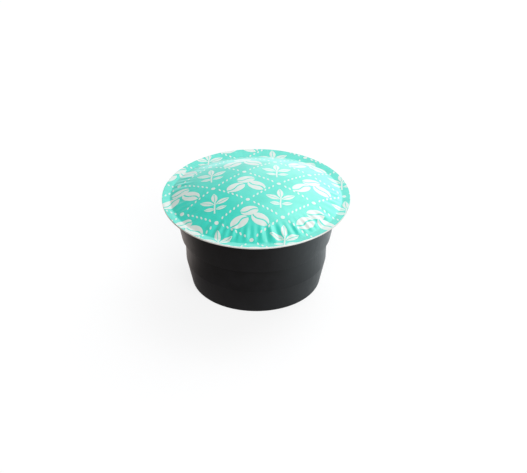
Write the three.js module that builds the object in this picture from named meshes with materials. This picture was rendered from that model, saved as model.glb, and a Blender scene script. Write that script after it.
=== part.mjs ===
// Single-dose coffee pod: a black moulded cup with a flanged rim, closed by a foil lid that is
// sealed to the flange and that gas from the coffee has blown up into a low dome.
//
// Units are millimetres and +Z is up. The origin is the middle of the base, on the surface that
// the pod stands on. Azimuths run from +X towards +Y, and the photographed side is -Y.
//
// The pod is a sealed pack, so the cup and what it holds are one solid, filled to the flange.
// Under the dome there is only gas, and the foil is a sheet of its own.

import * as THREE from "three";

// Radii, from the rim inwards and down: each draft or step is what the radius loses there.
const rimRadius = 23; // the pod's widest, at the lid's cut edge
const lidOverhang = 0.5; // how far the lid's cut edge stands past the flange
const flangeWidth = 2.4; // out from the collar
const collarDraft = 1.8;
const ledgeWidth = 0.9; // the step in, under the collar
const beltDraft = 0.25; // the belt is the nearly upright band under the ledge
const footDraft = 1.55; // measured to the base's edge before that is rounded

// Heights, from the base up
const footHeight = 6.8;
const beltHeight = 6.1;
const ledgeDrop = 0.3;
const collarHeight = 8.9;
const flangeThickness = 0.6;

// Rounds
const flangeEdgeRound = 0.25;
const flangeRootRound = 0.6; // fillet between the flange's underside and the collar
const baseEdgeRound = 0.7;

// Underside
const standingWidth = 3.6; // the flat ring that the pod stands on, to the base's edge
const panelRise = 0.5; // how far the panel inside that ring is raised
const panelBevel = 0.8;

// Lid
const foilThickness = 0.4; // foil with its sealing layer, as the pale cut edge shows it
const sealBand = 1.95; // the flat ring that is welded to the flange
const widerSealBand = 3.55; // the same ring at its widest, where more of the foil holds
const widerSealAzimuth = 95; // degrees, at the back
const widerSealSpread = 40; // degrees
const domeRise = 4.6;
const domePower = 2.3; // 2 is a paraboloid, and more is flatter on top

// Folds that gather the foil inside the sealed ring
const foldCount = 60;
const foldHeight = 0.06; // all round
const deeperFoldHeight = 0.17; // where they are deepest
const deeperFoldAzimuth = 275; // degrees, at the front
const deeperFoldSpread = 55; // degrees
const foldLength = 5.2; // how far they run in from the sealed ring
const oddFoldCount = 37; // a second, weaker set that makes the first uneven
const oddFoldShare = 0.4;

// Fineness of the faceted solids
const cupSides = 72;
const foldSides = 3; // facets to one fold
const roundSteps = 4; // to a quarter of an edge's round
const crownRings = 5; // from the middle of the dome to where the folds start
const foldRings = 5; // along the folds

// Sizes that follow
const flangeRadius = rimRadius - lidOverhang;
const collarTopRadius = flangeRadius - flangeWidth;
const collarFootRadius = collarTopRadius - collarDraft;
const beltTopRadius = collarFootRadius - ledgeWidth;
const beltFootRadius = beltTopRadius - beltDraft;
const baseRadius = beltFootRadius - footDraft;
const standingInnerRadius = baseRadius - standingWidth;
const beltTop = footHeight + beltHeight;
const collarFoot = beltTop + ledgeDrop;
const flangeUnderside = collarFoot + collarHeight;
const sealingFace = flangeUnderside + flangeThickness;
const flatCreaseRadius = rimRadius - sealBand;
const foldShare = foldLength / flatCreaseRadius;

/** A 2-D point of a turned profile: distance from the axis, and height. */
function at(radius, height) {
  return new THREE.Vector2(radius, height);
}

/** Weight of a feature that peaks at an azimuth and fades either side, all in degrees. */
function bump(azimuth, peak, spread) {
  const away = THREE.MathUtils.euclideanModulo(azimuth - peak + 180, 360) - 180;
  return Math.exp(-((away / spread) ** 2));
}

/**
 * Replaces the corner between two straight runs of a profile by an arc, from the first run to
 * the second. The arc takes at most half of the shorter run.
 */
function roundedCorner(before, corner, after, radius) {
  const back = before.clone().sub(corner);
  const on = after.clone().sub(corner);
  const longestReach = Math.min(back.length(), on.length()) / 2;
  back.normalize();
  on.normalize();
  const halfAngle = Math.acos(THREE.MathUtils.clamp(back.dot(on), -1, 1)) / 2;
  const reach = Math.min(radius / Math.tan(halfAngle), longestReach);
  const bisector = back.clone().add(on).normalize();
  const centre = corner.clone().addScaledVector(bisector, reach / Math.cos(halfAngle));
  const start = corner.clone().addScaledVector(back, reach).sub(centre);
  const end = corner.clone().addScaledVector(on, reach).sub(centre);
  const turn = Math.PI - 2 * halfAngle;
  const sweep = start.cross(end) > 0 ? turn : -turn;
  const steps = Math.max(2, Math.ceil((turn / (Math.PI / 2)) * roundSteps));
  const points = [];
  for (let i = 0; i <= steps; i += 1) {
    points.push(start.clone().rotateAround(at(0, 0), (sweep * i) / steps).add(centre));
  }
  return points;
}

/** The cup's outer profile, from the middle of the base out, up, and back to the axis. */
function cupProfile() {
  const standingInner = at(standingInnerRadius, 0);
  const baseEdge = at(baseRadius, 0);
  const beltFoot = at(beltFootRadius, footHeight);
  const collarEdge = at(collarFootRadius, collarFoot);
  const flangeRoot = at(collarTopRadius, flangeUnderside);
  const flangeLowerEdge = at(flangeRadius, flangeUnderside);
  const flangeUpperEdge = at(flangeRadius, sealingFace);
  return [
    at(0, panelRise),
    at(standingInnerRadius - panelBevel, panelRise),
    standingInner,
    ...roundedCorner(standingInner, baseEdge, beltFoot, baseEdgeRound),
    beltFoot,
    at(beltTopRadius, beltTop),
    collarEdge,
    ...roundedCorner(collarEdge, flangeRoot, flangeLowerEdge, flangeRootRound),
    ...roundedCorner(flangeRoot, flangeLowerEdge, flangeUpperEdge, flangeEdgeRound),
    flangeUpperEdge,
    at(0, sealingFace),
  ];
}

/** How wide the welded ring is at an azimuth in degrees. */
function sealBandAt(azimuth) {
  const share = bump(azimuth, widerSealAzimuth, widerSealSpread);
  return THREE.MathUtils.lerp(sealBand, widerSealBand, share);
}

/** How high the folds are at an azimuth in degrees, where they are highest along their length. */
function foldHeightAt(azimuth) {
  const share = bump(azimuth, deeperFoldAzimuth, deeperFoldSpread);
  return THREE.MathUtils.lerp(foldHeight, deeperFoldHeight, share);
}

/** How far the foil stands above its welded ring, at a share of the crease's radius. */
function domeHeight(share, azimuth) {
  const crown = domeRise * (1 - share ** domePower);
  const inFolds = THREE.MathUtils.clamp((1 - share) / foldShare, 0, 1);
  // The folds rise fast from the crease and fade slowly towards the middle.
  const swell = Math.sin(Math.PI * Math.sqrt(inFolds)) ** 2;
  const turn = THREE.MathUtils.degToRad(azimuth);
  const wave = THREE.MathUtils.lerp(
    Math.cos(foldCount * turn),
    Math.cos(oddFoldCount * turn),
    oddFoldShare,
  );
  return crown + foldHeightAt(azimuth) * swell * wave;
}

/** Radii of the flat lid's rings, from the middle to the crease. */
function flatRingRadii() {
  const foldStart = 1 - foldShare;
  const shares = [];
  for (let i = 0; i < crownRings; i += 1) shares.push((foldStart * i) / crownRings);
  for (let i = 0; i <= foldRings; i += 1) shares.push(foldStart + (foldShare * i) / foldRings);
  return shares.map((share) => share * flatCreaseRadius);
}

/**
 * The foil lid: a flat turned sheet, of which everything inside the welded ring is then raised
 * into a dome with folds, and drawn in or out so that it ends on the crease.
 */
function lidGeometry() {
  const under = [...flatRingRadii(), rimRadius].map((radius) => at(radius, 0));
  const over = under.map((point) => at(point.x, foilThickness)).reverse();
  const profile = [...under, ...over];
  const geometry = new THREE.LatheGeometry(profile, foldCount * foldSides);
  const position = geometry.getAttribute("position");
  for (let i = 0; i < position.count; i += 1) {
    const flat = profile[i % profile.length];
    if (flat.x < rimRadius) {
      // The lathe turns about its own Y, and -Z of it becomes +Y once it is stood up.
      const x = position.getX(i);
      const y = -position.getZ(i);
      const azimuth = THREE.MathUtils.radToDeg(Math.atan2(y, x));
      const draw = (rimRadius - sealBandAt(azimuth)) / flatCreaseRadius;
      const height = flat.y + domeHeight(flat.x / flatCreaseRadius, azimuth);
      position.setXYZ(i, x * draw, height, -y * draw);
    }
  }
  geometry.computeVertexNormals();
  return geometry;
}

/** A named mesh of a turned geometry, stood up so that its axis is +Z, at a height. */
function standingMesh(name, geometry, material, height) {
  const mesh = new THREE.Mesh(geometry, material);
  mesh.name = name;
  mesh.rotation.x = Math.PI / 2;
  mesh.position.z = height;
  return mesh;
}

const blackPlastic = new THREE.MeshStandardMaterial({
  color: new THREE.Color(0x1c1c1d),
  roughness: 0.5,
  metalness: 0,
});
const tealFoil = new THREE.MeshStandardMaterial({
  color: new THREE.Color(0x4fd6c2),
  roughness: 0.35,
  metalness: 0.3,
});

const pod = new THREE.Group();
pod.name = "coffee_pod";
pod.add(
  standingMesh("cup", new THREE.LatheGeometry(cupProfile(), cupSides), blackPlastic, 0),
  standingMesh("lid", lidGeometry(), tealFoil, sealingFace),
);

export default pod;
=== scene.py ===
"""A single-dose coffee pod: a black moulded cup closed by a printed foil lid.

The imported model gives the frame: metres, +Z up, the pod standing on z = 0 with its axis on Z, and
the photographed side facing -Y. Lengths in the classes below are in millimetres, as on a drawing,
and are turned into metres when a mesh is made.
"""

import logging
import math
from dataclasses import dataclass, field
from enum import Enum

import bmesh
import bpy
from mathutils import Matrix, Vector

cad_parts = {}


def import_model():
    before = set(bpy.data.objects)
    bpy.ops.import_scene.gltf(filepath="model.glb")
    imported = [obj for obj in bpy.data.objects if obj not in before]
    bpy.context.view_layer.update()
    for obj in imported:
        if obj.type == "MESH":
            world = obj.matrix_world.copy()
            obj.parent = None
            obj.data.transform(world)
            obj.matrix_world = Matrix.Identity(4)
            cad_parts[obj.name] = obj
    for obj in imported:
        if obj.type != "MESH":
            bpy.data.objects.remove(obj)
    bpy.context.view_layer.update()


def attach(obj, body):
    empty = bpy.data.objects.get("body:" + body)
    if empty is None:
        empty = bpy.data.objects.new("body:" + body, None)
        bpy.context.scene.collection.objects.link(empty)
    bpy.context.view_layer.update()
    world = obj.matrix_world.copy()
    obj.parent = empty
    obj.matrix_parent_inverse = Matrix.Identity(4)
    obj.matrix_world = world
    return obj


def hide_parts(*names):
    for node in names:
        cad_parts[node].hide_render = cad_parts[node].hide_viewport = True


LOG = logging.getLogger("coffee_pod")
MM = 0.001
SHARP_EDGE = math.radians(35)
MERGE_DISTANCE = 1e-4
POD_MIDDLE = Vector((0.0, 0.0, 0.012))

Colour = tuple[float, float, float]
Point2 = tuple[float, float]

WHITE: Colour = (1.0, 1.0, 1.0)
BLACK: Colour = (0.0, 0.0, 0.0)
DAYLIGHT: Colour = (0.97, 1.0, 1.04)


def linear(red: int, green: int, blue: int) -> Colour:
    """Turns an sRGB colour into a linear one.

    Args:
        red: 0 to 255.
        green: 0 to 255.
        blue: 0 to 255.

    Returns:
        The linear colour, each part from 0 to 1.
    """
    toe, toe_slope, offset, power = 0.04045, 12.92, 0.055, 2.4
    parts = []
    for value in (red, green, blue):
        share = value / 255
        curve = ((share + offset) / (1 + offset)) ** power
        parts.append(share / toe_slope if share <= toe else curve)
    return parts[0], parts[1], parts[2]


def bump_at(azimuth: float, peak: float, spread: float) -> float:
    """Weighs a feature that peaks at an azimuth and fades either side.

    Args:
        azimuth: Where the weight is wanted, in degrees.
        peak: Where it is 1, in degrees.
        spread: How fast it fades, in degrees.

    Returns:
        The weight, from 0 to 1.
    """
    away = (azimuth - peak + 180) % 360 - 180
    return math.exp(-((away / spread) ** 2))


def direction(azimuth: float, elevation: float) -> Vector:
    """Gives the unit vector that points at an azimuth and an elevation.

    Args:
        azimuth: From +X towards +Y, in degrees.
        elevation: Up from level, in degrees.

    Returns:
        The unit vector.
    """
    turn, rise = math.radians(azimuth), math.radians(elevation)
    level = math.cos(rise)
    return Vector((level * math.cos(turn), level * math.sin(turn), math.sin(rise)))


def new_object(name: str, data: bpy.types.ID) -> bpy.types.Object:
    """Makes an object and puts it in the scene.

    Args:
        name: Its name.
        data: Its mesh, light or camera.

    Returns:
        The object.
    """
    thing = bpy.data.objects.new(name, data)
    bpy.context.scene.collection.objects.link(thing)
    return thing


class Value:
    """A number that changes over a surface, with the arithmetic of shader nodes."""

    def __init__(self, tree: "NodeTree", socket: bpy.types.NodeSocket) -> None:
        """Keeps the socket that puts the number out, and the tree that it is in."""
        self.tree = tree
        self.socket = socket

    def _with(self, operation: str, *others: "Value | float", clamp: bool = False) -> "Value":
        """Puts this number through a Math node with others."""
        return self.tree.math(operation, self, *others, clamp=clamp)

    def __add__(self, other: "Value | float") -> "Value":
        """Adds."""
        return self._with("ADD", other)

    def __sub__(self, other: "Value | float") -> "Value":
        """Takes away."""
        return self._with("SUBTRACT", other)

    def __mul__(self, other: "Value | float") -> "Value":
        """Multiplies."""
        return self._with("MULTIPLY", other)

    def __truediv__(self, other: "Value | float") -> "Value":
        """Divides."""
        return self._with("DIVIDE", other)

    def __rsub__(self, other: float) -> "Value":
        """Takes this number away from another."""
        return self.tree.math("SUBTRACT", other, self)

    def __pow__(self, other: float) -> "Value":
        """Raises to a power."""
        return self._with("POWER", other)

    def size(self) -> "Value":
        """Drops the sign."""
        return self._with("ABSOLUTE")

    def sine(self) -> "Value":
        """Takes the sine of an angle in radians."""
        return self._with("SINE")

    def least(self, other: "Value | float") -> "Value":
        """Gives the smaller of two numbers."""
        return self._with("MINIMUM", other)

    def most(self, other: "Value | float") -> "Value":
        """Gives the larger of two numbers."""
        return self._with("MAXIMUM", other)

    def repeated(self, pitch: float, start: float = 0.0) -> "Value":
        """Repeats this coordinate, to run from minus to plus half the pitch about the start."""
        return self._with("WRAP", start + pitch / 2, start - pitch / 2) - start

    def inside(self, soft: float) -> "Value":
        """Gives 1 where this distance is below zero and 0 above, with a soft edge."""
        return self.tree.math("ADD", self * (-1 / soft), 0.5, clamp=True)

    def stepped(self, low: float, high: float) -> "Value":
        """Fades smoothly from 0 to 1.

        Args:
            low: Where the result leaves 0.
            high: Where it reaches 1.

        Returns:
            The result.
        """
        node = self.tree.add("ShaderNodeMapRange", interpolation_type="SMOOTHSTEP")
        self.tree.join(self, node.inputs["Value"])
        node.inputs["From Min"].default_value = low
        node.inputs["From Max"].default_value = high
        return Value(self.tree, node.outputs["Result"])


class NodeTree:
    """Adds nodes to one shader tree and joins them."""

    def __init__(self, tree: bpy.types.NodeTree) -> None:
        """Keeps the tree."""
        self.tree = tree

    def add(self, kind: str, **settings: object) -> bpy.types.Node:
        """Adds a node.

        Args:
            kind: Blender's name for the kind of node.
            **settings: Its properties.

        Returns:
            The node.
        """
        node = self.tree.nodes.new(kind)
        for name, value in settings.items():
            setattr(node, name, value)
        return node

    def join(
        self, source: "Value | bpy.types.NodeSocket | float", target: bpy.types.NodeSocket
    ) -> None:
        """Feeds a socket from a value or another socket, or sets it to a number.

        Args:
            source: What feeds it.
            target: The socket.
        """
        if isinstance(source, Value):
            source = source.socket
        if isinstance(source, bpy.types.NodeSocket):
            self.tree.links.new(source, target)
        else:
            target.default_value = source

    def math(self, operation: str, *inputs: "Value | float", clamp: bool = False) -> Value:
        """Adds a Math node.

        Args:
            operation: What it does, such as ADD.
            *inputs: Its numbers, in order.
            clamp: Whether the result is kept from 0 to 1.

        Returns:
            Its result.
        """
        node = self.add("ShaderNodeMath", operation=operation, use_clamp=clamp)
        for socket, value in zip(node.inputs, inputs):
            self.join(value, socket)
        return Value(self, node.outputs[0])

    def blend(self, mask: Value, low: object, high: object) -> bpy.types.NodeSocket:
        """Mixes two colours.

        Args:
            mask: 0 gives the first colour, 1 the second.
            low: The first colour, or a socket that puts it out.
            high: The second.

        Returns:
            The socket that puts out the mix.
        """
        node = self.add("ShaderNodeMix", data_type="RGBA")
        self.join(mask, node.inputs["Factor"])
        for name, colour in (("A", low), ("B", high)):
            socket = next(s for s in node.inputs if s.name == name and s.type == "RGBA")
            made = isinstance(colour, bpy.types.NodeSocket)
            self.join(colour if made else (*colour, 1.0), socket)
        return next(s for s in node.outputs if s.type == "RGBA")

    def vector(
        self, x: "Value | float", y: "Value | float", z: "Value | float"
    ) -> bpy.types.NodeSocket:
        """Joins three numbers into a vector.

        Args:
            x: Its first number.
            y: Its second.
            z: Its third.

        Returns:
            The socket that puts it out.
        """
        node = self.add("ShaderNodeCombineXYZ")
        for socket, value in zip(node.inputs, (x, y, z)):
            self.join(value, socket)
        return node.outputs[0]

    def parts(self, vector: bpy.types.NodeSocket) -> tuple[Value, Value, Value]:
        """Splits a vector.

        Args:
            vector: The socket that puts it out.

        Returns:
            Its three numbers.
        """
        node = self.add("ShaderNodeSeparateXYZ")
        self.join(vector, node.inputs[0])
        x, y, z = (Value(self, socket) for socket in node.outputs)
        return x, y, z

    def turned(self, x: Value, y: Value, angle: Value) -> tuple[Value, Value]:
        """Measures a place along a direction, which is in radians from X, and across it."""
        cosine, sine = self.math("COSINE", angle), angle.sine()
        return x * cosine + y * sine, y * cosine - x * sine

    def noise(
        self, vector: "Value | bpy.types.NodeSocket", scale: "Value | float", detail: float
    ) -> Value:
        """Adds a Noise node.

        Args:
            vector: Where the noise is read.
            scale: How many of its lumps lie along one unit.
            detail: How many finer octaves are added.

        Returns:
            Its value, which stays near 0.5.
        """
        node = self.add("ShaderNodeTexNoise", noise_dimensions="3D")
        self.join(vector, node.inputs["Vector"])
        self.join(scale, node.inputs["Scale"])
        node.inputs["Detail"].default_value = detail
        return Value(self, node.outputs["Fac"])

    def position(self) -> tuple[Value, Value, Value]:
        """Reads the place on the object.

        Returns:
            Its three coordinates, in millimetres.
        """
        node = self.add("ShaderNodeTexCoord")
        x, y, z = self.parts(node.outputs["Object"])
        to_mm = round(1 / MM)
        return x * to_mm, y * to_mm, z * to_mm

    def emboss(self, height: Value, strength: float, shader: bpy.types.Node) -> None:
        """Turns a shader's normal by a fine relief.

        Args:
            height: The relief, in millimetres.
            strength: How much of it shows, from 0 to 1.
            shader: The shader.
        """
        node = self.add("ShaderNodeBump")
        node.inputs["Strength"].default_value = strength
        node.inputs["Distance"].default_value = MM
        self.join(height, node.inputs["Height"])
        self.join(node.outputs["Normal"], shader.inputs["Normal"])

    def camera_sees(self) -> Value:
        """Gives 1 for what the camera sees directly, and 0 for what lights or mirrors."""
        return Value(self, self.add("ShaderNodeLightPath").outputs["Is Camera Ray"])

    def group(self, group: bpy.types.NodeTree, **inputs: object) -> bpy.types.Node:
        """Places a node group.

        Args:
            group: The group.
            **inputs: What its sockets get, by name with underscores for spaces.

        Returns:
            The group's node.
        """
        node = self.add("ShaderNodeGroup", node_tree=group)
        for name, value in inputs.items():
            self.join(value, node.inputs[name.replace("_", " ")])
        return node


def new_material(name: str) -> tuple[bpy.types.Material, NodeTree, bpy.types.Node]:
    """Makes a material that has only its shader.

    Args:
        name: Its name.

    Returns:
        The material, its tree and its shader.
    """
    material = bpy.data.materials.new(name)
    material.use_nodes = True
    shader = material.node_tree.nodes["Principled BSDF"]
    return material, NodeTree(material.node_tree), shader


class Effect:
    """A node group with named inputs and outputs, which more than one material can use."""

    def __init__(self, name: str, inputs: dict[str, float | None], outputs: list[str]) -> None:
        """Makes the group and its sockets.

        Args:
            name: The group's name.
            inputs: What each input is when nothing feeds it, or None for a vector.
            outputs: The names of the values that it puts out.
        """
        self.group = bpy.data.node_groups.new(name, "ShaderNodeTree")
        for label, value in inputs.items():
            kind = "NodeSocketVector" if value is None else "NodeSocketFloat"
            socket = self.group.interface.new_socket(label, in_out="INPUT", socket_type=kind)
            if value is not None:
                socket.default_value = value
        for label in outputs:
            self.group.interface.new_socket(label, in_out="OUTPUT", socket_type="NodeSocketFloat")
        self.nodes = NodeTree(self.group)
        self._given = self.nodes.add("NodeGroupInput")
        self._result = self.nodes.add("NodeGroupOutput")

    def given(self, label: str) -> Value:
        """Reads an input."""
        return Value(self.nodes, self._given.outputs[label])

    def put(self, label: str, value: Value) -> None:
        """Feeds an output."""
        self.nodes.join(value, self._result.inputs[label])


def coffee_bean() -> bpy.types.NodeTree:
    """Makes the printed bean: an oval with a curved slit along it.

    Returns:
        A group that takes a place in millimetres from the bean's middle, its tilt and its length,
        and puts out where the ink is.
    """
    plumpness, soft = 0.68, 0.05
    slit_turn, slit_sway, slit_half_width = 3.4, 0.13, 0.085
    effect = Effect("Coffee bean", {"X": 0.0, "Y": 0.0, "Tilt": 0.0, "Length": 5.0}, ["Ink"])
    half = effect.given("Length") * 0.5
    x, y, tilt = effect.given("X"), effect.given("Y"), effect.given("Tilt")
    along, across = (value / half for value in effect.nodes.turned(x, y, tilt))
    oval = ((along ** 2.0) + ((across / plumpness) ** 2.0)) ** 0.5 - 1.0
    slit = (across - (along * slit_turn).sine() * slit_sway).size() - slit_half_width
    effect.put("Ink", oval.inside(soft).least(1.0 - slit.inside(soft)))
    return effect.group


def coffee_leaf() -> bpy.types.NodeTree:
    """Makes the printed leaf: pointed at both ends, with a bare midrib.

    Returns:
        A group that takes a place in millimetres from the leaf's stalk, its direction and its
        length, and puts out where the ink is.
    """
    half_width, soft = 0.42, 0.06
    midrib_half_width, midrib_half_length, midrib_soft = 0.05, 0.8, 0.05
    sockets = {"X": 0.0, "Y": 0.0, "Direction": 0.0, "Length": 4.0}
    effect = Effect("Coffee leaf", sockets, ["Ink"])
    half = effect.given("Length") * 0.5
    x, y, towards = effect.given("X"), effect.given("Y"), effect.given("Direction")
    from_stalk, across = (value / half for value in effect.nodes.turned(x, y, towards))
    along = from_stalk - 1.0
    blade = across.size() - (1.0 - along * along) * half_width
    midrib = (across.size() - midrib_half_width).most(along.size() - midrib_half_length)
    effect.put("Ink", blade.inside(soft).least(1.0 - midrib.inside(midrib_soft)))
    return effect.group


def surface_dust() -> bpy.types.NodeTree:
    """Makes sparse pale specks.

    Returns:
        A group that takes a vector in millimetres, the width of the cells, the share of them
        that hold a speck and its radius, and puts out where the specks are.
    """
    smallest, soft, sharp = 0.4, 0.04, 0.001
    sockets = {"Vector": None, "Spacing": 1.5, "Share": 0.04, "Radius": 0.07}
    effect = Effect("Dust", sockets, ["Mask"])
    nodes = effect.nodes
    spacing = effect.given("Spacing")
    cells = nodes.add("ShaderNodeTexVoronoi", feature="F1", distance="EUCLIDEAN")
    nodes.join(effect.given("Vector"), cells.inputs["Vector"])
    nodes.join(nodes.math("DIVIDE", 1.0, spacing), cells.inputs["Scale"])
    away = Value(nodes, cells.outputs["Distance"]) * spacing
    chance, size_chance, _ = nodes.parts(cells.outputs["Color"])
    speck = (away - effect.given("Radius") * (size_chance + smallest)).inside(soft)
    effect.put("Mask", speck * (chance - effect.given("Share")).inside(sharp))
    return effect.group


def surface_unevenness() -> bpy.types.NodeTree:
    """Makes the unevenness of a made surface: soft patches, and a fine grain.

    Returns:
        A group that takes a vector in millimetres and how many lumps of each lie along one
        millimetre, and puts out the patches and the grain, each from 0 to 1.
    """
    bare_below, full_above = 0.32, 0.7
    patch_detail, grain_detail = 3.0, 2.5
    sockets = {"Vector": None, "Patches": 0.5, "Grain": 5.0}
    effect = Effect("Unevenness", sockets, ["Patch", "Grain"])
    place = effect.given("Vector")
    patches = effect.nodes.noise(place, effect.given("Patches"), patch_detail)
    effect.put("Patch", patches.stepped(bare_below, full_above))
    effect.put("Grain", effect.nodes.noise(place, effect.given("Grain"), grain_detail))
    return effect.group


@dataclass(frozen=True)
class SharedEffects:
    """The effects that both finishes use, each made once."""

    dust: bpy.types.NodeTree
    unevenness: bpy.types.NodeTree

    @classmethod
    def made(cls) -> "SharedEffects":
        """Makes the groups."""
        return cls(dust=surface_dust(), unevenness=surface_unevenness())

    def specks(
        self,
        nodes: NodeTree,
        place: bpy.types.NodeSocket,
        spacing: float,
        share: float,
        radius: float,
    ) -> Value:
        """Scatters dust: a share of the cells, one spacing wide, hold a speck. Sizes are in mm."""
        node = nodes.group(self.dust, Vector=place, Spacing=spacing, Share=share, Radius=radius)
        return Value(nodes, node.outputs["Mask"])

    def uneven(
        self, nodes: NodeTree, place: bpy.types.NodeSocket, patches: float, grain: float
    ) -> tuple[Value, Value]:
        """Gives patches and grain, each from 0 to 1, from how many of them lie along 1 mm."""
        node = nodes.group(self.unevenness, Vector=place, Patches=patches, Grain=grain)
        return Value(nodes, node.outputs["Patch"]), Value(nodes, node.outputs["Grain"])


@dataclass(frozen=True)
class SatinPlastic:
    """Black plastic as it leaves the mould: satin, faintly mottled, with a little dust."""

    name: str = "Satin black plastic"
    colour: Colour = linear(17, 17, 18)
    mottle_colour: Colour = linear(22, 22, 24)
    dust_colour: Colour = linear(150, 150, 154)
    roughness: float = 0.4
    flow_roughness: float = 0.16
    mottle_roughness: float = 0.05
    dust_roughness: float = 0.3
    specular: float = 0.5
    mottle_per_mm: float = 0.35
    grain_per_mm: float = 9.0
    grain_height: float = 0.004
    flow_per_mm: float = 1.6
    flow_detail: float = 3.0
    flow_squeeze: float = 0.25
    flow_height: float = 0.02
    relief: float = 0.35
    dust_spacing: float = 3.0
    dust_share: float = 0.18
    dust_radius: float = 0.09

    def material(self, effects: SharedEffects) -> bpy.types.Material:
        """Builds the material.

        Args:
            effects: The node groups that both finishes use.

        Returns:
            The material, whose patterns read the object's own coordinates.
        """
        material, nodes, shader = new_material(self.name)
        x, y, z = nodes.position()
        place = nodes.vector(x, y, z)
        mottle, grain = effects.uneven(nodes, place, self.mottle_per_mm, self.grain_per_mm)
        upright = nodes.vector(x, y, z * self.flow_squeeze)
        flow = nodes.noise(upright, self.flow_per_mm, self.flow_detail)
        specks = effects.specks(
            nodes, place, self.dust_spacing, self.dust_share, self.dust_radius
        )
        body = nodes.blend(mottle, self.colour, self.mottle_colour)
        nodes.join(nodes.blend(specks, body, self.dust_colour), shader.inputs["Base Color"])
        rough = (flow - 0.5) * self.flow_roughness + mottle * self.mottle_roughness
        rough = rough + specks * self.dust_roughness + self.roughness
        nodes.join(rough, shader.inputs["Roughness"])
        shader.inputs["Specular IOR Level"].default_value = self.specular
        nodes.emboss(grain * self.grain_height + flow * self.flow_height, self.relief, shader)
        return material


@dataclass(frozen=True)
class Stamp:
    """One copy of a printed motif, in millimetres and radians."""

    x: float
    y: float
    angle: float
    length: float


@dataclass(frozen=True)
class FoilPrint:
    """The lid's printed repeat: bean clusters in a dotted trellis, with leaf sprigs between."""

    width: float = 16.0
    height: float = 12.6
    tilt: float = 4.0
    shift_x: float = 2.5
    shift_y: float = 1.0
    dots_to_a_side: int = 8
    dot_radius: float = 0.3
    corner_gap: float = 1.1
    corner_soft: float = 0.05
    stud_radius: float = 0.5
    stalk_foot: float = -3.2
    stalk_length: float = 4.0
    stalk_half_width: float = 0.17
    stalk_turn: float = 0.5
    stalk_sway: float = 0.25
    soft: float = 0.1
    beans: tuple[Stamp, ...] = (
        Stamp(-2.55, -0.9, 0.55, 4.9),
        Stamp(2.5, -0.6, -0.75, 4.9),
        Stamp(0.1, 2.35, 0.15, 4.4),
    )
    leaves: tuple[Stamp, ...] = (
        Stamp(0.0, 0.4, 1.57, 3.6),
        Stamp(0.2, -0.1, 0.45, 3.7),
        Stamp(-0.2, -0.1, 2.69, 3.7),
        Stamp(0.1, -1.9, 0.2, 2.7),
        Stamp(-0.1, -1.9, 2.94, 2.7),
    )

    def ink(self, nodes: NodeTree, x: Value, y: Value) -> Value:
        """Draws the repeat.

        Args:
            nodes: The tree that it is drawn in.
            x: The place on the lid, in millimetres.
            y: The place on the lid, in millimetres.

        Returns:
            Where the pale ink is.
        """
        cosine, sine = math.cos(math.radians(self.tilt)), math.sin(math.radians(self.tilt))
        across = x * cosine + y * sine + self.shift_x
        up = y * cosine - x * sine + self.shift_y
        bean_x, bean_y = across.repeated(self.width), up.repeated(self.height)
        leaf_x = (across + self.width / 2).repeated(self.width)
        leaf_y = (up + self.height / 2).repeated(self.height)
        beans = self._cluster(nodes, coffee_bean(), self.beans, "Tilt", bean_x, bean_y)
        leaves = self._cluster(nodes, coffee_leaf(), self.leaves, "Direction", leaf_x, leaf_y)
        ink = self._trellis(bean_x, bean_y).most(beans)
        return ink.most(leaves).most(self._stalk(leaf_x, leaf_y))

    def _cluster(
        self,
        nodes: NodeTree,
        group: bpy.types.NodeTree,
        stamps: tuple[Stamp, ...],
        angle: str,
        x: Value,
        y: Value,
    ) -> Value:
        """Places a motif several times.

        Args:
            nodes: The tree that it is drawn in.
            group: The motif.
            stamps: The copies.
            angle: The motif's name for its angle.
            x: The coordinate within the repeat.
            y: The coordinate within the repeat.

        Returns:
            Where the ink of any copy is.
        """
        ink = None
        for stamp in stamps:
            turn = {angle: stamp.angle}
            node = nodes.group(group, X=x - stamp.x, Y=y - stamp.y, Length=stamp.length, **turn)
            copy = Value(nodes, node.outputs["Ink"])
            ink = copy if ink is None else ink.most(copy)
        return ink

    def _stalk(self, x: Value, y: Value) -> Value:
        """Draws the sprig's stalk.

        Args:
            x: The coordinate within the repeat.
            y: The coordinate within the repeat.

        Returns:
            Where its ink is.
        """
        half_length = self.stalk_length / 2
        middle = self.stalk_foot + half_length
        line = (x - (y * self.stalk_turn).sine() * self.stalk_sway).size() - self.stalk_half_width
        return line.most((y - middle).size() - half_length).inside(self.soft)

    def _trellis(self, x: Value, y: Value) -> Value:
        """Draws the dotted diamond round each cluster, with a stud at its corners.

        Args:
            x: The coordinate within the repeat.
            y: The coordinate within the repeat.

        Returns:
            Where its ink is.
        """
        half_width, half_height = self.width / 2, self.height / 2
        side = math.hypot(half_width, half_height)
        edge = x.size() / half_width + y.size() / half_height - 1.0
        off_line = edge * (half_width * half_height / side)
        pitch = half_width / self.dots_to_a_side
        on_line = x.size().repeated(pitch, pitch / 2) * (side / half_width)
        away = (off_line * off_line + on_line * on_line) ** 0.5
        along = x.size() * (side / half_width)
        short = (along - side / 2).size() - (side / 2 - self.corner_gap)
        corner_x, corner_y = x.size() - half_width, y.size() - half_height
        side_corner = (corner_x * corner_x + y * y) ** 0.5
        end_corner = (x * x + corner_y * corner_y) ** 0.5
        studs = (side_corner.least(end_corner) - self.stud_radius).inside(self.soft)
        dots = (away - self.dot_radius).inside(self.soft)
        return dots.least(short.inside(self.corner_soft)).most(studs)


@dataclass(frozen=True)
class LidSizes:
    """What the foil's finish has to know of the lid, in millimetres.

    Attributes:
        crease: The radius of the crease.
        rim: The radius of the cut edge.
        edge_top: The height of the sealed ring's upper face at the cut edge.
    """

    crease: float
    rim: float
    edge_top: float


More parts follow.
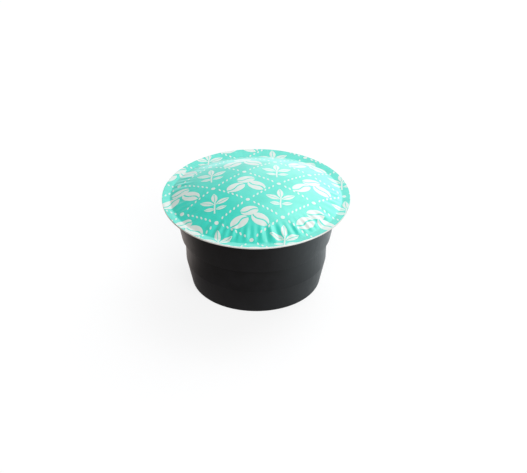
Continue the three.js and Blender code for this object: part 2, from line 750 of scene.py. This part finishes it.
@dataclass(frozen=True)
class LidPlace:
    """A place on the lid while it is shaded, in millimetres."""

    x: Value
    y: Value
    z: Value
    radius: Value


@dataclass(frozen=True)
class PrintedFoil:
    """Glossy foil lacquered teal, with a pale print and a pale cut edge that is painted whiter at
    the front as a highlight.
    """

    name: str = "Printed teal foil"
    teal: Colour = linear(56, 213, 192)
    deep_teal: Colour = linear(48, 207, 185)
    ink: Colour = linear(213, 220, 213)
    # The cut edge's colour at the front is painted white as a highlight, and the dimmer colour at
    # the sides is painted shade.
    edge: Colour = linear(246, 244, 238)
    shaded_side_edge: Colour = linear(206, 202, 192)
    dust: Colour = linear(214, 222, 218)
    roughness: float = 0.28
    patch_roughness: float = 0.05
    ink_roughness: float = 0.08
    edge_roughness: float = 0.3
    specular: float = 0.5
    coat: float = 0.56
    coat_roughness: float = 0.16
    ink_cover: float = 0.97
    ink_height: float = 0.01
    wobbles_per_mm: float = 2.2
    wobble: float = 0.12
    patches_per_mm: float = 0.5
    grain_per_mm: float = 3.0
    grain_height: float = 0.025
    streak_height: float = 0.05
    relief: float = 0.6
    dust_cover: float = 0.6
    dust_spacing: float = 4.0
    dust_share: float = 0.08
    dust_radius: float = 0.05
    edge_width: float = 0.02
    # Painted highlight on the cut edge: its white top line is this wide at the front, and it fades
    # in between the two distances below, in millimetres forward of the middle.
    front_highlight_width: float = 0.2
    front_highlight_from: float = 12.0
    front_highlight_to: float = 21.5
    print: FoilPrint = field(default_factory=FoilPrint)

    def material(self, effects: SharedEffects, sizes: LidSizes) -> bpy.types.Material:
        """Builds the material.

        Args:
            effects: The node groups that both finishes use.
            sizes: The lid's sizes.

        Returns:
            The material, whose patterns read the object's own coordinates.
        """
        material, nodes, shader = new_material(self.name)
        x, y, z = nodes.position()
        spot = nodes.vector(x, y, z)
        place = LidPlace(x, y, z, (x * x + y * y) ** 0.5)
        wobble = (nodes.noise(spot, self.wobbles_per_mm, detail=1.0) - 0.5) * self.wobble
        ink = self.print.ink(nodes, x + wobble, y + wobble)
        patchy, fine = effects.uneven(nodes, spot, self.patches_per_mm, self.grain_per_mm)
        specks = effects.specks(nodes, spot, self.dust_spacing, self.dust_share, self.dust_radius)
        # Painted highlight: the cut edge is whiter and its top line wider towards the front, and
        # the dimmer sides are painted shade.
        front = (y * -1.0).stepped(self.front_highlight_from, self.front_highlight_to)
        cut = self._cut_edge(nodes, place, front, sizes)
        lacquer = nodes.blend(patchy, self.teal, self.deep_teal)
        printed = nodes.blend(ink * self.ink_cover, lacquer, self.ink)
        dusty = nodes.blend(specks * self.dust_cover, printed, self.dust)
        # The cut edge's colour: painted shade on the sides and a painted highlight at the front.
        bare = nodes.blend(front, self.shaded_side_edge, self.edge)
        nodes.join(nodes.blend(cut, dusty, bare), shader.inputs["Base Color"])
        rough = patchy * self.patch_roughness + ink * self.ink_roughness
        rough = rough + cut * self.edge_roughness + self.roughness
        nodes.join(rough, shader.inputs["Roughness"])
        shader.inputs["Specular IOR Level"].default_value = self.specular
        shader.inputs["Coat Weight"].default_value = self.coat
        shader.inputs["Coat Roughness"].default_value = self.coat_roughness
        streaks = self._streaks(nodes, place, sizes.crease)
        height = streaks * self.streak_height + fine * self.grain_height + ink * self.ink_height
        nodes.emboss(height, self.relief, shader)
        return material

    def _cut_edge(
        self, nodes: NodeTree, place: LidPlace, front: Value, sizes: LidSizes
    ) -> Value:
        """Finds the bare cut edge, with a painted highlight: a thin white line on top that widens
        at the front.

        Args:
            nodes: The tree that it is drawn in.
            place: The place on the lid.
            front: Where the painted highlight is, 1 at the front and 0 at the sides and back.
            sizes: The lid's sizes.

        Returns:
            1 on the cut edge and its painted highlight line, and 0 on the print.
        """
        tears_per_mm, tear_detail, tear_depth = 1.3, 2.0, 0.3
        lip, soft = 0.03, 0.02
        along = nodes.vector(place.radius, place.y, 0.0)
        ragged = (nodes.noise(along, tears_per_mm, tear_detail) - 0.5) * tear_depth
        # The painted highlight widens the white top line towards the front.
        widening = self.front_highlight_width - self.edge_width
        width = front * (ragged + widening) + self.edge_width
        on_top = (place.radius - sizes.rim + width).stepped(-lip, lip)
        on_side = (place.radius - (sizes.rim - lip)).stepped(0.0, soft)
        below = (sizes.edge_top - lip - place.z).stepped(-soft, soft)
        return on_top.most(on_side * below)

    def _streaks(self, nodes: NodeTree, place: LidPlace, crease: float) -> Value:
        """Draws the fine tight creases that run in from the sealed ring.

        They are strongest at the back and left, and faint at the front, where the folds are.

        Args:
            nodes: The tree that they are drawn in.
            place: The place on the lid.
            crease: The radius at which they start, in millimetres.

        Returns:
            Their height, from 0 to 1.
        """
        round_turn, inward, scale, detail = 14.0, 0.05, 1.5, 2.0
        flat_below, full_above = 0.35, 0.65
        longest, shortest = 9.0, 1.5
        front_fade, front_least, front_rest = (-0.85, -0.3), 0.15, 0.75
        right_fade, right_loss = (-0.4, 0.6), 0.5
        towards_x, towards_y = place.x / place.radius, place.y / place.radius
        ray = nodes.vector(towards_x * round_turn, towards_y * round_turn, place.radius * inward)
        lines = nodes.noise(ray, scale, detail).stepped(flat_below, full_above)
        reach = place.radius.stepped(crease - longest, crease - shortest)
        off_front = towards_y.stepped(*front_fade) * front_rest + front_least
        off_right = towards_x.stepped(*right_fade) * -right_loss + 1.0
        return lines * reach * off_front * off_right


@dataclass
class MouldedCup:
    """The black cup: a turned moulding that is solid where the sealed coffee fills it."""

    flange_radius: float = 22.5
    collar_top_radius: float = 20.1
    collar_foot_radius: float = 18.3
    belt_top_radius: float = 17.4
    belt_foot_radius: float = 17.15
    base_radius: float = 15.6
    standing_width: float = 3.6
    panel_rise: float = 0.5
    panel_bevel: float = 0.8
    foot_height: float = 6.8
    belt_top: float = 12.9
    collar_foot: float = 13.2
    flange_underside: float = 22.1
    sealing_face: float = 22.7
    gate_radius: float = 1.1
    gate_depth: float = 0.2
    gate_slope: float = 0.25
    gate_edge_round: float = 0.1
    gate_foot_round: float = 0.15
    panel_round: float = 0.4
    standing_round: float = 0.25
    base_round: float = 0.7
    belt_foot_round: float = 0.25
    ledge_round: float = 0.12
    flange_root_round: float = 0.6
    flange_edge_round: float = 0.25
    sealing_edge_round: float = 0.1
    sides: int = 256
    finish: SatinPlastic = field(default_factory=SatinPlastic)

    def build(self, effects: SharedEffects) -> bpy.types.Object:
        """Turns the profile, rounds its edges and dresses it.

        Args:
            effects: The node groups that both finishes use.

        Returns:
            The piece that stands for the cup's node.
        """
        shape = Turning(self._profile(), self.sides).solid()
        piece = new_object("cup_moulding", finished_mesh(shape, "cup_moulding"))
        piece.data.materials.append(self.finish.material(effects))
        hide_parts("cup")
        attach(piece, "root")
        return piece

    def _profile(self) -> "Profile":
        """Draws the outer profile.

        Returns:
            The line from the middle of the base out, up, and back to the axis.
        """
        standing_inner = self.base_radius - self.standing_width
        gate_top = self.panel_rise + self.gate_depth
        profile = Profile()
        profile.to(0.0, gate_top)
        profile.to(self.gate_radius, gate_top, self.gate_edge_round)
        profile.to(self.gate_radius + self.gate_slope, self.panel_rise, self.gate_foot_round)
        profile.to(standing_inner - self.panel_bevel, self.panel_rise, self.panel_round)
        profile.to(standing_inner, 0.0, self.standing_round)
        profile.to(self.base_radius, 0.0, self.base_round)
        profile.to(self.belt_foot_radius, self.foot_height, self.belt_foot_round)
        profile.to(self.belt_top_radius, self.belt_top, self.ledge_round)
        profile.to(self.collar_foot_radius, self.collar_foot, self.ledge_round)
        profile.to(self.collar_top_radius, self.flange_underside, self.flange_root_round)
        profile.to(self.flange_radius, self.flange_underside, self.flange_edge_round)
        profile.to(self.flange_radius, self.sealing_face, self.sealing_edge_round)
        profile.to(0.0, self.sealing_face)
        return profile


@dataclass
class Profile:
    """The line that a turning is spun from: corners with their rounds, in millimetres.

    Attributes:
        corners: Each corner's distance from the axis, height and round.
        segments: How many pieces each round has.
        longest_reach: How much of a straight run a round may take, as a share.
    """

    corners: list[tuple[float, float, float]] = field(default_factory=list)
    segments: int = 6
    longest_reach: float = 0.49

    def to(self, radius: float, height: float, rounding: float = 0.0) -> None:
        """Goes on to a corner, which gets a round of the given radius."""
        self.corners.append((radius, height, rounding))

    def points(self) -> list[Point2]:
        """Rounds the corners.

        Returns:
            The line's points, as distances from the axis and heights.
        """
        found: list[Point2] = []
        last = len(self.corners) - 1
        for index, (radius, height, rounding) in enumerate(self.corners):
            if rounding <= 0 or index in (0, last):
                found.append((radius, height))
                continue
            corner = Vector((radius, height))
            back = Vector(self.corners[index - 1][:2]) - corner
            on = Vector(self.corners[index + 1][:2]) - corner
            half = back.angle(on) / 2
            room = min(back.length, on.length) * self.longest_reach
            reach = min(rounding / math.tan(half), room)
            start, end = corner + back.normalized() * reach, corner + on.normalized() * reach
            for step in range(self.segments + 1):
                share = step / self.segments
                bent = start.lerp(corner, share).lerp(corner.lerp(end, share), share)
                found.append((bent.x, bent.y))
        return found


@dataclass
class Turning:
    """A closed shape spun from a profile about the Z axis."""

    profile: Profile
    sides: int

    def solid(self) -> bmesh.types.BMesh:
        """Spins the profile.

        Returns:
            The shape in millimetres, closed, with its faces pointing out.
        """
        shape = bmesh.new()
        verts = [shape.verts.new((r, 0.0, z)) for r, z in self.profile.points()]
        for first, second in zip(verts, verts[1:]):
            shape.edges.new((first, second))
        bmesh.ops.spin(
            shape,
            geom=shape.verts[:] + shape.edges[:],
            cent=(0.0, 0.0, 0.0),
            axis=(0.0, 0.0, 1.0),
            angle=math.tau,
            steps=self.sides,
            use_merge=True,
        )
        bmesh.ops.remove_doubles(shape, verts=shape.verts[:], dist=MERGE_DISTANCE)
        bmesh.ops.recalc_face_normals(shape, faces=shape.faces[:])
        return shape


def finished_mesh(shape: bmesh.types.BMesh, name: str) -> bpy.types.Mesh:
    """Turns a shape in millimetres into a smooth mesh in metres.

    Args:
        shape: The shape, which is used up.
        name: The mesh's name.

    Returns:
        The mesh, with its sharp edges marked.
    """
    bmesh.ops.scale(shape, vec=(MM, MM, MM), verts=shape.verts[:])
    for face in shape.faces:
        face.smooth = True
    for edge in shape.edges:
        if len(edge.link_faces) == 2 and edge.calc_face_angle(0.0) > SHARP_EDGE:
            edge.smooth = False
    mesh = bpy.data.meshes.new(name)
    shape.to_mesh(mesh)
    shape.free()
    return mesh


@dataclass
class FoilLid:
    """The foil lid: a flat sealed ring, then a low dome with folds just inside the ring."""

    rim_radius: float = 23.0
    foot: float = 22.7
    thickness: float = 0.4
    seal_band: float = 1.95
    wider_seal_band: float = 3.55
    wider_seal_azimuth: float = 95.0
    wider_seal_spread: float = 40.0
    dome_rise: float = 4.6
    dome_power: float = 2.3
    fold_count: int = 60
    fold_height: float = 0.07
    deeper_fold_height: float = 0.24
    deeper_fold_azimuth: float = 275.0
    deeper_fold_spread: float = 55.0
    fold_length: float = 6.2
    fold_swell: float = 0.6
    odd_fold_count: int = 37
    odd_fold_share: float = 0.4
    fold_wander: float = 0.03
    wander_count: int = 7
    fold_fading: float = 0.4
    fading_count: int = 9
    fading_start: float = 1.2
    crease_width: float = 0.08
    edge_lift: float = 0.1
    edge_round: float = 0.06
    sides: int = 480
    crown_rings: int = 22
    fold_rings: int = 20
    finish: PrintedFoil = field(default_factory=PrintedFoil)

    @property
    def flat_crease(self) -> float:
        """The crease's radius before the foil is drawn in."""
        return self.rim_radius - self.seal_band

    @property
    def fold_share(self) -> float:
        """The folds' length as a share of the crease's radius."""
        return self.fold_length / self.flat_crease

    def build(self, effects: SharedEffects) -> bpy.types.Object:
        """Turns the flat sheet, raises it into the dome and dresses it.

        Args:
            effects: The node groups that both finishes use.

        Returns:
            The piece that stands for the lid's node.
        """
        shape = Turning(self._flat_profile(), self.sides).solid()
        for vert in shape.verts:
            self._raise(vert)
        bmesh.ops.recalc_face_normals(shape, faces=shape.faces[:])
        piece = new_object("lid_foil_sheet", finished_mesh(shape, "lid_foil_sheet"))
        edge_top = self.foot + self.thickness + self.edge_lift
        sizes = LidSizes(self.flat_crease, self.rim_radius, edge_top)
        piece.data.materials.append(self.finish.material(effects, sizes))
        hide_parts("lid")
        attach(piece, "root")
        return piece

    def _flat_profile(self) -> Profile:
        """Draws the flat sheet's section.

        Returns:
            The line out along its underside and back over the top.
        """
        start, length = 1 - self.fold_share, self.fold_share
        shares = [start * i / self.crown_rings for i in range(self.crown_rings)]
        shares += [start + length * i / self.fold_rings for i in range(self.fold_rings + 1)]
        radii = [share * self.flat_crease for share in shares]
        top = self.foot + self.thickness
        profile = Profile()
        for radius in radii:
            profile.to(radius, self.foot)
        profile.to(self.rim_radius, self.foot, self.edge_round)
        profile.to(self.rim_radius, top, self.edge_round)
        profile.to(self.rim_radius - self.seal_band / 2, top)
        profile.to(self.flat_crease + self.crease_width, top)
        for radius in reversed(radii):
            profile.to(radius, top)
        return profile

    def _raise(self, vert: bmesh.types.BMVert) -> None:
        """Moves a vertex of the flat sheet to its place on the lid.

        Args:
            vert: The vertex, in millimetres.
        """
        radius = math.hypot(vert.co.x, vert.co.y)
        azimuth = math.degrees(math.atan2(vert.co.y, vert.co.x))
        outside = (radius - self.flat_crease) / self.seal_band
        vert.co.z += self.edge_lift * max(outside, 0.0)
        if radius < self.flat_crease + self.crease_width + MERGE_DISTANCE:
            share = min(radius / self.flat_crease, 1.0)
            draw = self._crease(azimuth) / self.flat_crease
            vert.co.x *= draw
            vert.co.y *= draw
            vert.co.z += self._height(share, azimuth)

    def _crease(self, azimuth: float) -> float:
        """Gives the radius at which the foil leaves the flange, at an azimuth in degrees."""
        share = bump_at(azimuth, self.wider_seal_azimuth, self.wider_seal_spread)
        return self.rim_radius - self.seal_band - (self.wider_seal_band - self.seal_band) * share

    def _height(self, share: float, azimuth: float) -> float:
        """Gives the dome's height over the sealed ring.

        Args:
            share: The distance from the middle as a share of the crease's radius.
            azimuth: In degrees.

        Returns:
            The height in millimetres.
        """
        crown = self.dome_rise * (1 - share**self.dome_power)
        in_folds = min(max((1 - share) / self.fold_share, 0.0), 1.0)
        swell = math.sin(math.pi * in_folds**self.fold_swell) ** 2
        turn = math.radians(azimuth)
        wandering = turn + self.fold_wander * math.sin(self.wander_count * turn)
        even, odd = math.cos(self.fold_count * wandering), math.cos(self.odd_fold_count * turn)
        wave = even + (odd - even) * self.odd_fold_share
        wave *= 1 + self.fold_fading * math.sin(self.fading_count * turn + self.fading_start)
        deep = bump_at(azimuth, self.deeper_fold_azimuth, self.deeper_fold_spread)
        height = self.fold_height + (self.deeper_fold_height - self.fold_height) * deep
        return crown + height * swell * wave


class LampShape(Enum):
    """The shapes of studio lamp that are used."""

    PANEL = "RECTANGLE"
    ROUND = "DISK"


@dataclass(frozen=True)
class Lamp:
    """A soft studio lamp that faces the pod.

    Attributes:
        name: Its name.
        azimuth: Where it hangs, in degrees from +X towards +Y.
        elevation: Its height over the pod, in degrees.
        distance: In metres.
        width: In metres.
        height: In metres.
        power: In watts.
        colour: The tint of its light.
        shape: Its outline.
    """

    name: str
    azimuth: float
    elevation: float
    distance: float
    width: float
    height: float
    power: float
    colour: Colour = DAYLIGHT
    shape: LampShape = LampShape.PANEL

    def build(self, target: Vector) -> bpy.types.Object:
        """Hangs the lamp.

        Args:
            target: What it faces.

        Returns:
            The lamp's object.
        """
        light = bpy.data.lights.new(self.name, "AREA")
        light.shape = self.shape.value
        light.size = self.width
        light.size_y = self.height
        light.energy = self.power
        light.color = self.colour
        lamp = new_object(self.name, light)
        lamp.location = target + direction(self.azimuth, self.elevation) * self.distance
        lamp.rotation_euler = (target - lamp.location).to_track_quat("-Z", "Y").to_euler()
        return lamp


@dataclass
class Studio:
    """A white floor, a pale surround and soft lamps.

    Attributes:
        floor_half: Half of the floor's side, in metres.
        floor_roughness: The floor's roughness.
        shown_share: How much of what the camera sees of the floor depends on the light.
        table: The floor's colour for all other rays.
        right_glare: What the table gives off on the right.
        back_glare: What it gives off behind the pod.
        near_glow: What it gives off close to the foot.
        right_lean: How far +X and +Y lead to the right.
        right_fade: Where the glare on the right starts and is full, in millimetres.
        back_fade: The same for the glare behind.
        near_fade: Where the glow round the foot starts to fade and ends, in millimetres.
        surround: The world's light.
        horizon: The world's light low down, behind and on the right.
        horizon_fade: The heights at which it starts to fade and ends, 1 being overhead.
        horizon_side: Where it starts and is full, from -1 on the left to 1 on the right.
        lamps: The lamps.
    """

    floor_half: float = 3.0
    floor_roughness: float = 0.9
    shown_share: float = 0.2
    table: Colour = (0.17, 0.15, 0.14)
    right_glare: Colour = (1.13, 1.36, 1.44)
    back_glare: Colour = (1.1, 0.98, 0.93)
    near_glow: Colour = (0.09, 0.09, 0.095)
    right_lean: Point2 = (0.85, 0.53)
    right_fade: Point2 = (-18.0, 55.0)
    back_fade: Point2 = (-9.0, 20.0)
    near_fade: Point2 = (17.0, 32.0)
    surround: Colour = (0.3, 0.3, 0.3)
    horizon: Colour = (0.84, 0.87, 0.9)
    horizon_fade: Point2 = (0.42, 0.68)
    horizon_side: Point2 = (-0.5, -0.22)
    lamps: tuple[Lamp, ...] = (
        Lamp("window panel", 66.0, 30.0, 1.0, width=0.9, height=1.1, power=3.1),
        Lamp("right panel", 52.0, 40.0, 1.0, width=0.75, height=1.0, power=3.4),
        Lamp("upper panel", 41.0, 63.0, 1.0, width=0.6, height=0.6, power=1.5),
        Lamp(
            "front lamp",
            285.0,
            42.0,
            1.3,
            width=0.9,
            height=0.9,
            power=8.2,
            colour=WHITE,
            shape=LampShape.ROUND,
        ),
    )

    def build(self, target: Vector) -> None:
        """Lays the floor, sets the surround and hangs the lamps.

        Args:
            target: What the lamps face.
        """
        self._lay_floor()
        self._set_surround()
        for lamp in self.lamps:
            lamp.build(target)

    def _lay_floor(self) -> None:
        """Lays a plain pale floor, which the camera sees as white outside the pod's shadow."""
        shape = bmesh.new()
        bmesh.ops.create_grid(shape, x_segments=1, y_segments=1, size=self.floor_half)
        mesh = bpy.data.meshes.new("floor")
        shape.to_mesh(mesh)
        shape.free()
        floor = new_object("floor", mesh)
        floor.data.materials.append(self._floor_material())

    def _floor_material(self) -> bpy.types.Material:
        """Builds the floor's material.

        The camera sees it as white, with a soft shadow. The pod is lit by a plainer table: dim
        on the left and in front, paler close to the foot, and bright on the right and behind,
        where the panels glare on it.

        Returns:
            The material.
        """
        material, nodes, shader = new_material("Plain white floor")
        shader.inputs["Roughness"].default_value = self.floor_roughness
        shader.inputs["Specular IOR Level"].default_value = 0.0
        shader.inputs["Emission Strength"].default_value = 1.0
        shown = nodes.camera_sees()
        x, y, _ = nodes.position()
        lean_x, lean_y = self.right_lean
        from_right = (x * lean_x + y * lean_y).stepped(*self.right_fade)
        from_back = y.stepped(*self.back_fade)
        away = ((x * x + y * y) ** 0.5).stepped(*self.near_fade)
        near = nodes.blend(away, self.near_glow, BLACK)
        behind = nodes.blend(from_back, near, self.back_glare)
        glare = nodes.blend(from_right, behind, self.right_glare)
        glow = nodes.blend(shown, glare, (1.0 - self.shown_share,) * 3)
        colour = nodes.blend(shown, self.table, (self.shown_share,) * 3)
        nodes.join(glow, shader.inputs["Emission Color"])
        nodes.join(colour, shader.inputs["Base Color"])
        return material

    def _set_surround(self) -> None:
        """Gives the world an even pale light, brighter low down, and white to look at."""
        world = bpy.data.worlds.new("surround")
        world.use_nodes = True
        nodes = NodeTree(world.node_tree)
        background = world.node_tree.nodes["Background"]
        towards = nodes.add("ShaderNodeTexCoord").outputs["Generated"]
        across, _, height = nodes.parts(towards)
        low = (1.0 - height.stepped(*self.horizon_fade)) * across.stepped(*self.horizon_side)
        light = nodes.blend(low, self.surround, self.horizon)
        nodes.join(nodes.blend(nodes.camera_sees(), light, WHITE), background.inputs["Color"])
        background.inputs["Strength"].default_value = 1.0
        bpy.context.scene.world = world


@dataclass
class PhotoCamera:
    """The camera, placed so that the pod's rim lies where the photograph has it.

    Attributes:
        image_width: In pixels.
        image_height: In pixels.
        rim_x: Where the rim's middle lies in the picture, in pixels from the left.
        rim_y: The same from the top.
        pixels_per_mm: The scale at the rim.
        rim_height: The rim's height, in millimetres.
        azimuth: Where the camera stands, in degrees from +X towards +Y.
        elevation: How far it looks down, in degrees.
        distance: From the rim's middle, in millimetres.
        sensor: Its sensor's width, in millimetres.
        nearest: What it shows at least, in metres.
        farthest: What it shows at most, in metres.
    """

    image_width: float = 527.0
    image_height: float = 473.0
    rim_x: float = 256.1
    rim_y: float = 197.7
    pixels_per_mm: float = 94.2 / 23.0
    rim_height: float = 23.1
    azimuth: float = 270.0
    elevation: float = 31.68
    distance: float = 920.0
    sensor: float = 36.0
    nearest: float = 0.05
    farthest: float = 20.0

    def build(self) -> bpy.types.Object:
        """Places the camera and makes it the scene's.

        Returns:
            The camera's object.
        """
        back = direction(self.azimuth, self.elevation)
        right = direction(self.azimuth + 90.0, 0.0)
        up = back.cross(right)
        rim = Vector((0.0, 0.0, self.rim_height))
        across = (self.image_width / 2 - self.rim_x) / self.pixels_per_mm
        down = (self.image_height / 2 - self.rim_y) / self.pixels_per_mm
        aim = rim + right * across - up * down
        data = bpy.data.cameras.new("photo camera")
        data.sensor_fit = "HORIZONTAL"
        data.sensor_width = self.sensor
        data.lens = self.pixels_per_mm * self.distance * self.sensor / self.image_width
        data.clip_start = self.nearest
        data.clip_end = self.farthest
        camera = new_object("photo camera", data)
        camera.location = (rim + back * self.distance) * MM
        camera.rotation_euler = (aim * MM - camera.location).to_track_quat("-Z", "Y").to_euler()
        bpy.context.scene.camera = camera
        return camera


def main() -> None:
    """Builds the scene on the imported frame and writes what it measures."""
    logging.basicConfig(level=logging.INFO, format="%(message)s")
    scene = bpy.context.scene
    scene.view_settings.view_transform = "Standard"
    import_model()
    camera = PhotoCamera().build()
    LOG.info("camera: lens %.1f mm", camera.data.lens)
    Studio().build(POD_MIDDLE)
    LOG.info("studio built")
    effects = SharedEffects.made()
    for maker in (MouldedCup(), FoilLid()):
        piece = maker.build(effects)
        LOG.info("%s: %d faces", piece.name, len(piece.data.polygons))


if __name__ == "__main__":
    main()
